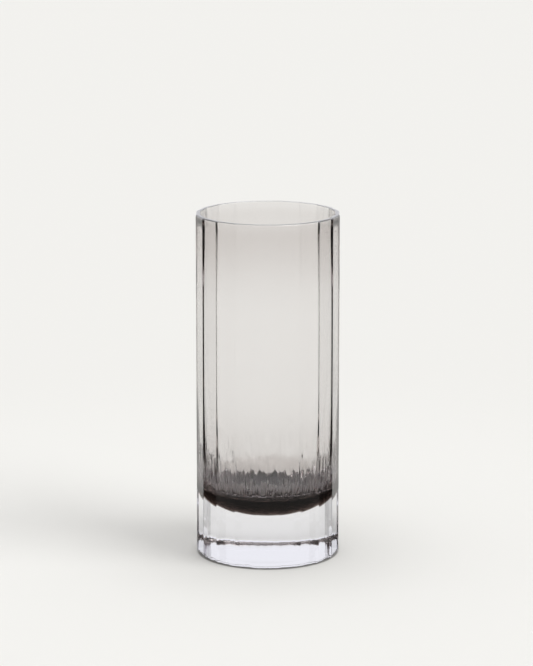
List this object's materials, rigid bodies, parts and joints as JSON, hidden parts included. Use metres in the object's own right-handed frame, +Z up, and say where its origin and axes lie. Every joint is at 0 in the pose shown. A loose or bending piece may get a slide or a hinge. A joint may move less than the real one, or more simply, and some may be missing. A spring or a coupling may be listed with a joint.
{
  "type": "glass cylinder vase",
  "caption": "Tall straight cylinder vase of clear glass with flat upright facets, a heavy clear base and a smoked grey glass lining that darkens towards the bottom; holds water and cut stems.",
  "frame": {"origin": "centre of the flat face that the vase stands on", "axes": "+Z up along the vase's axis, towards the rim; one facet faces -Y"},
  "size_m": [0.0988, 0.0988, 0.24],
  "materials": {
    "clear_glass": "clear glass, pressed facets, polished rim and ground foot",
    "smoked_glass": "transparent smoke grey glass, glossy"
  },
  "bodies": {
    "root": {"clear_casing": "clear_glass", "smoked_liner": "smoked_glass"}
  },
  "joints": []
}
